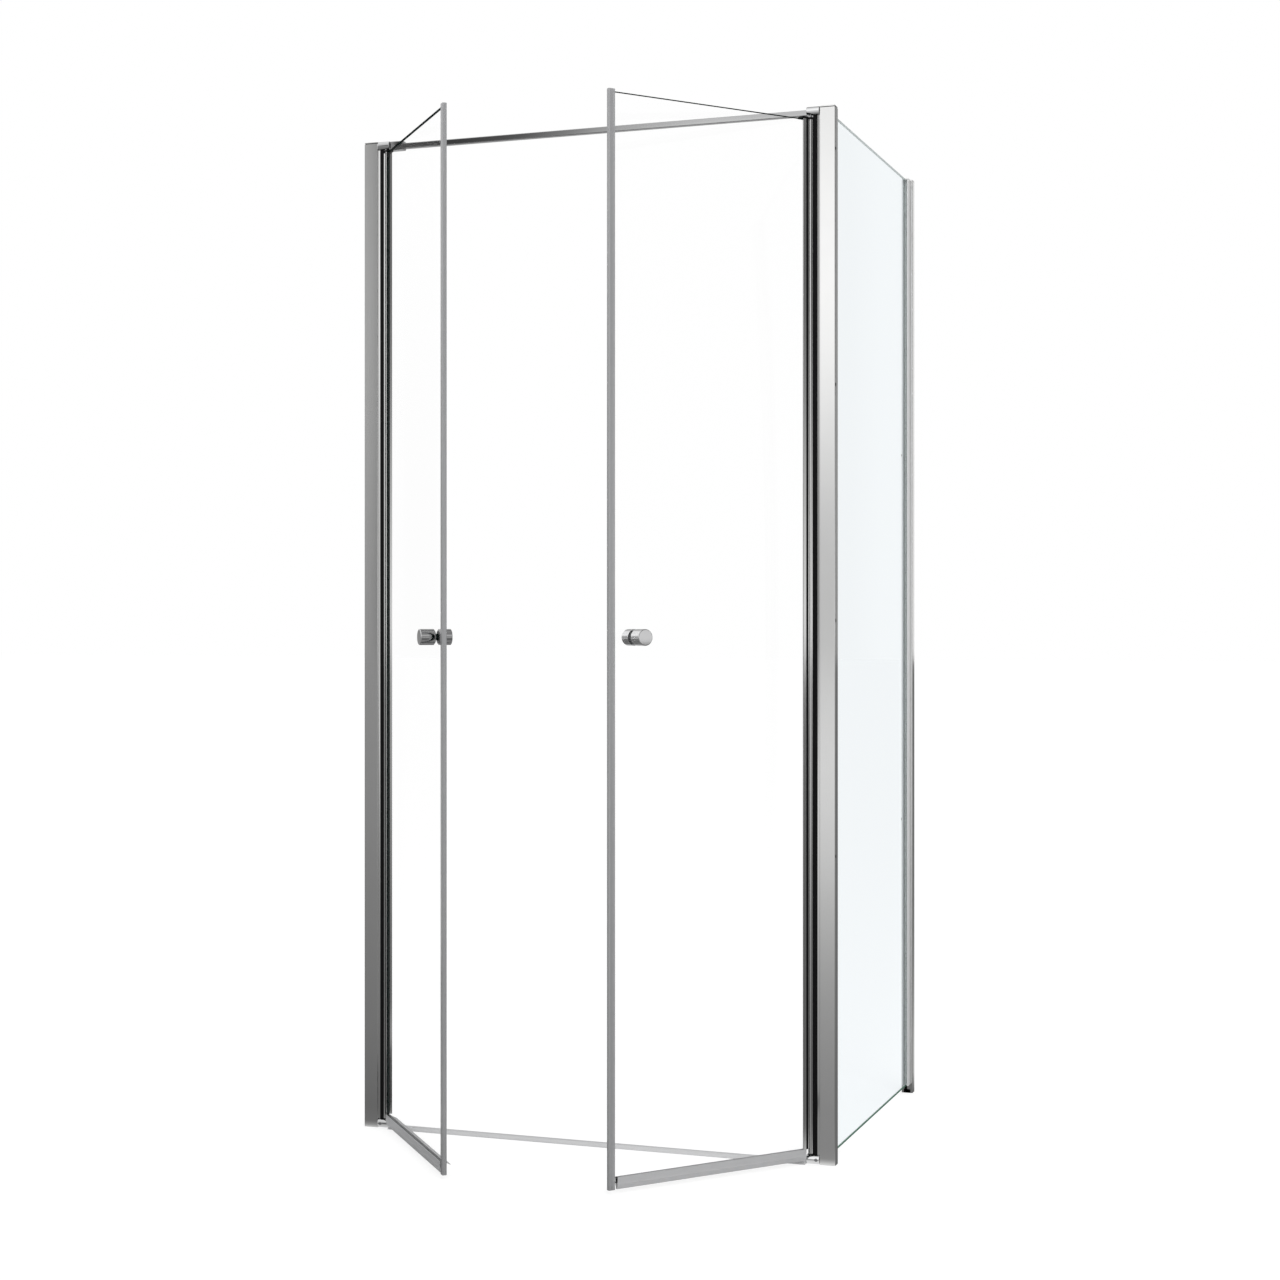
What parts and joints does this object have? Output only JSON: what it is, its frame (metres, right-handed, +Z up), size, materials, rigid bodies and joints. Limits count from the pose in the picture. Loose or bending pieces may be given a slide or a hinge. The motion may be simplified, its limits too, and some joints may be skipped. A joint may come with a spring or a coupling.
{
  "type": "shower enclosure",
  "caption": "Corner shower enclosure with swinging glass leaves on pivots, a slim metal frame, a header bar, a low threshold and a fixed glass return panel.",
  "frame": {"origin": "on the tray, under the middle of the threshold, below the line of the closed leaves", "axes": "+X from the wall frame to the corner post, +Y into the shower, +Z up"},
  "size_m": [0.984, 1.0389, 2],
  "materials": {
    "polished_aluminium": "bright polished and anodised",
    "chrome": "mirror polished",
    "steel": "plain stainless",
    "clear_glass": "clear toughened glass with polished edges",
    "black_rubber": "satin extruded",
    "black_plastic": "moulded",
    "soft_seal": "translucent soft extrusion",
    "clear_plastic": "clear moulded",
    "magnet_core": "flexible magnetic strip"
  },
  "bodies": {
    "frame": {"left_wall_channel": "steel", "left_frame_profile": "polished_aluminium", "left_lock_screw_1": "steel", "left_lock_screw_2": "steel", "left_frame_cap": "polished_aluminium", "left_side_gasket": "black_rubber", "corner_post": "polished_aluminium", "post_screw_1": "steel", "post_screw_2": "steel", "post_screw_3": "steel", "post_screw_4": "steel", "corner_post_cap": "polished_aluminium", "right_side_gasket": "black_rubber", "left_top_pivot_block": "chrome", "left_bottom_pivot_block": "chrome", "left_block_screw": "steel", "left_top_pivot_pin": "steel", "left_bottom_pivot_pin": "steel", "right_top_pivot_block": "chrome", "right_bottom_pivot_block": "chrome", "right_block_screw": "steel", "right_top_pivot_pin": "steel", "right_bottom_pivot_pin": "steel", "header_bar": "polished_aluminium", "header_bar_bracket": "polished_aluminium", "threshold_strip": "polished_aluminium", "side_glass": "clear_glass", "side_glass_front_gasket": "black_rubber", "side_glass_rear_gasket": "black_rubber", "side_clamp_profile": "polished_aluminium", "rear_wall_channel": "polished_aluminium", "rear_lock_screw_1": "steel", "rear_lock_screw_2": "steel", "rear_profile_cap": "polished_aluminium"},
    "left_leaf": {"left_leaf_glass": "clear_glass", "left_hinge_stile": "polished_aluminium", "left_glazing_gasket": "black_rubber", "left_stile_top_cap": "black_plastic", "left_stile_foot_bush": "black_plastic", "left_edge_seal": "soft_seal", "left_edge_magnet": "magnet_core", "left_drip_seal": "soft_seal", "left_outer_knob": "chrome", "left_inner_knob": "chrome", "left_outer_washer": "clear_plastic", "left_inner_washer": "clear_plastic", "left_knob_stud": "steel"},
    "right_leaf": {"right_leaf_glass": "clear_glass", "right_hinge_stile": "polished_aluminium", "right_glazing_gasket": "black_rubber", "right_stile_top_cap": "black_plastic", "right_stile_foot_bush": "black_plastic", "right_edge_seal": "soft_seal", "right_edge_magnet": "magnet_core", "right_drip_seal": "soft_seal", "right_outer_knob": "chrome", "right_inner_knob": "chrome", "right_outer_washer": "clear_plastic", "right_inner_washer": "clear_plastic", "right_knob_stud": "steel"}
  },
  "joints": [
    {"name": "left_leaf_swing", "type": "hinge", "parent": "frame", "child": "left_leaf", "pos_m": [-0.444, 0, 1], "axis": [0, 0, -1], "range_deg": [-140, 40]},
    {"name": "right_leaf_swing", "type": "hinge", "parent": "frame", "child": "right_leaf", "pos_m": [0.444, 0, 1], "axis": [0, 0, 1], "range_deg": [-140, 40]}
  ]
}
